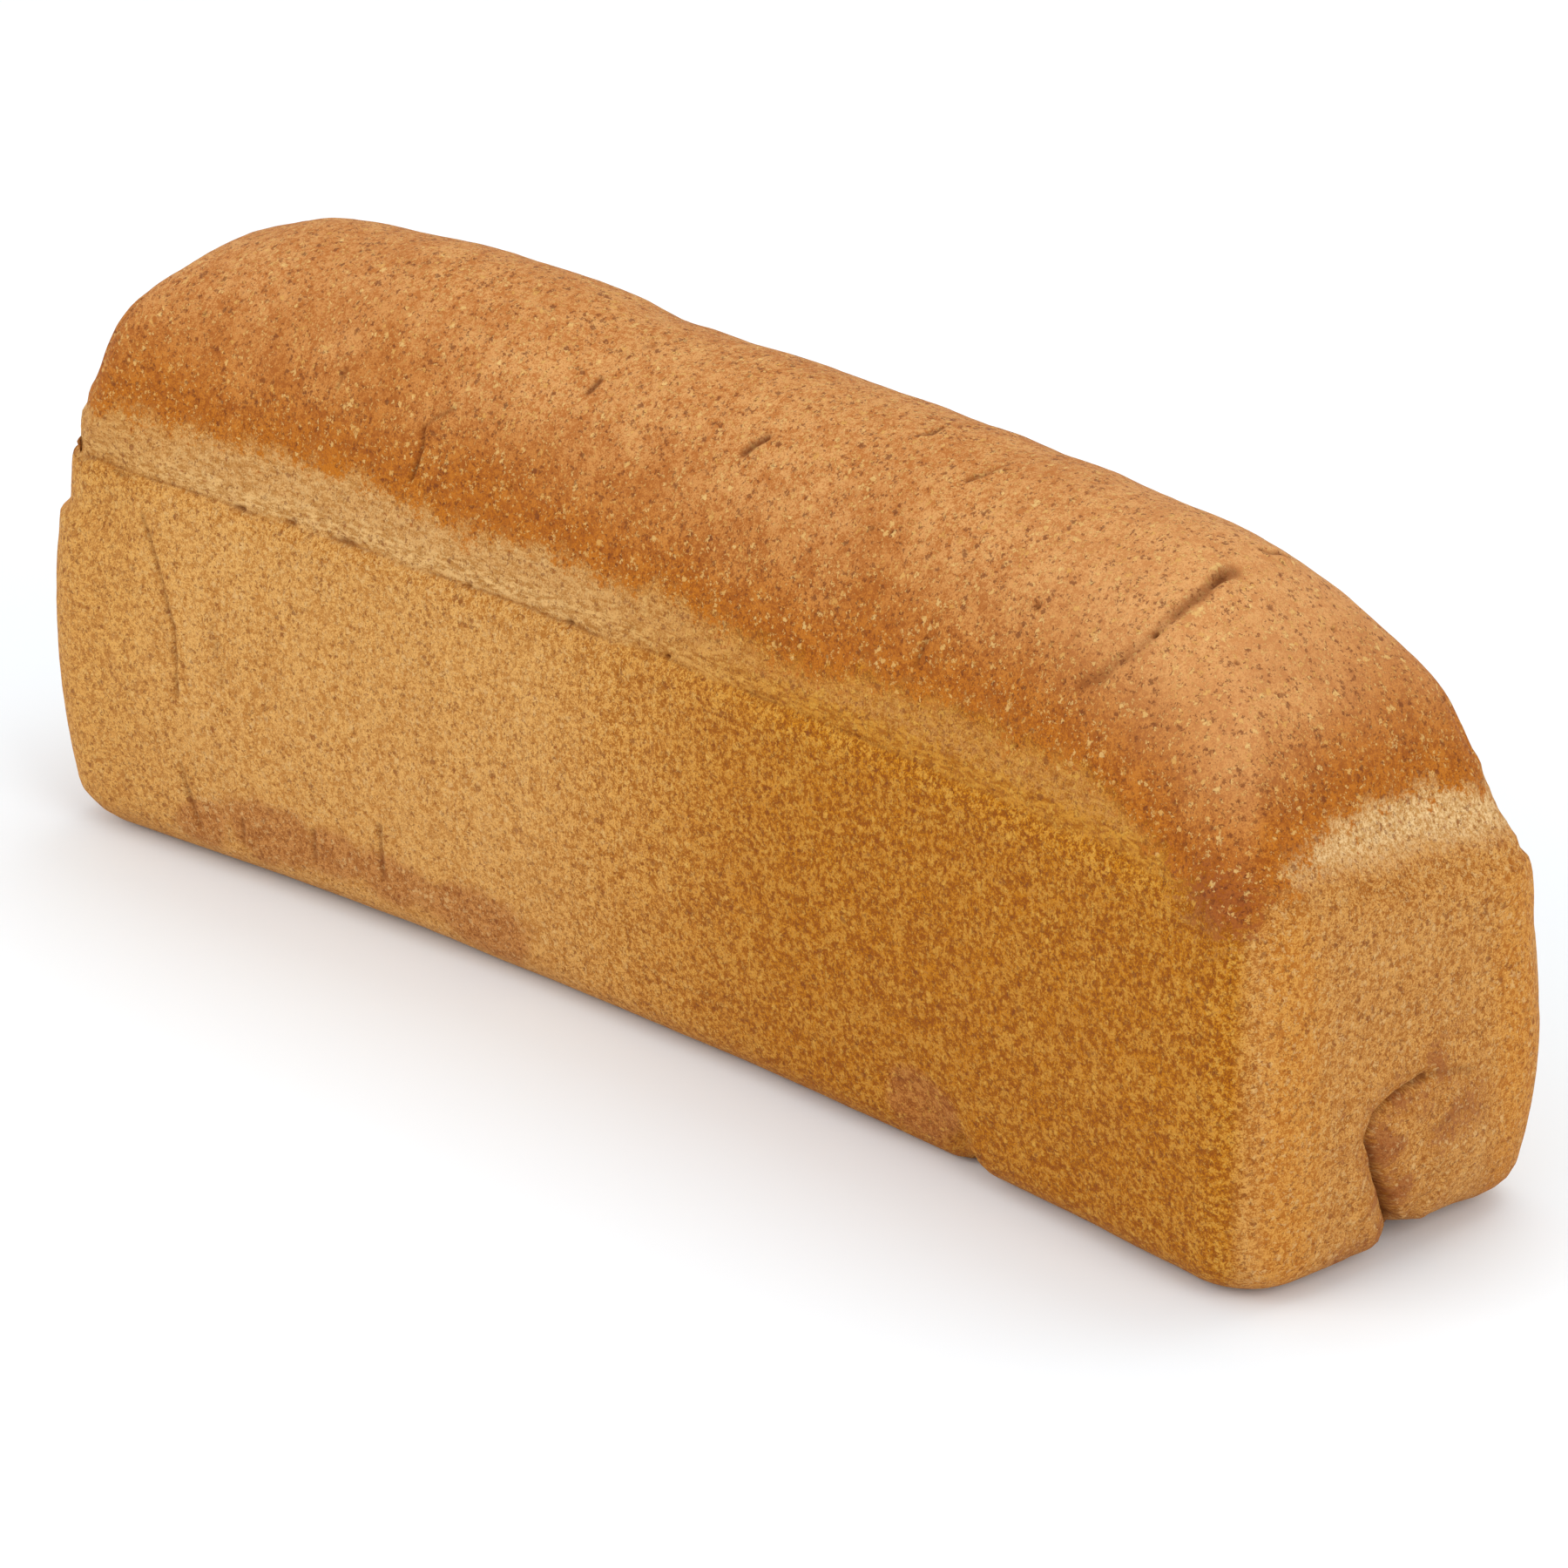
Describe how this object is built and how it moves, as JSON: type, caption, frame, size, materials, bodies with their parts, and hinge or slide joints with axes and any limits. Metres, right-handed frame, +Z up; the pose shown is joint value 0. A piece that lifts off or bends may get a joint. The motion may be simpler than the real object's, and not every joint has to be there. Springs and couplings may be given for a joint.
{
  "type": "tin loaf",
  "caption": "Long wholemeal tin loaf, whole and uncut, with straight flat sides, a domed brown crown and rounded ends.",
  "frame": {"origin": "centre of the loaf's bounding box in plan, at the level of its underside", "axes": "+X along the loaf towards the end with the folded seam, +Y across it towards the side that bows outwards, +Z up"},
  "size_m": [0.415, 0.1094, 0.1625],
  "materials": {
    "crust": "dry matt wholemeal bread crust, golden tan on the sides and browner on the crown, with fine bran flecks"
  },
  "bodies": {
    "root": {"loaf": "crust"}
  },
  "joints": []
}
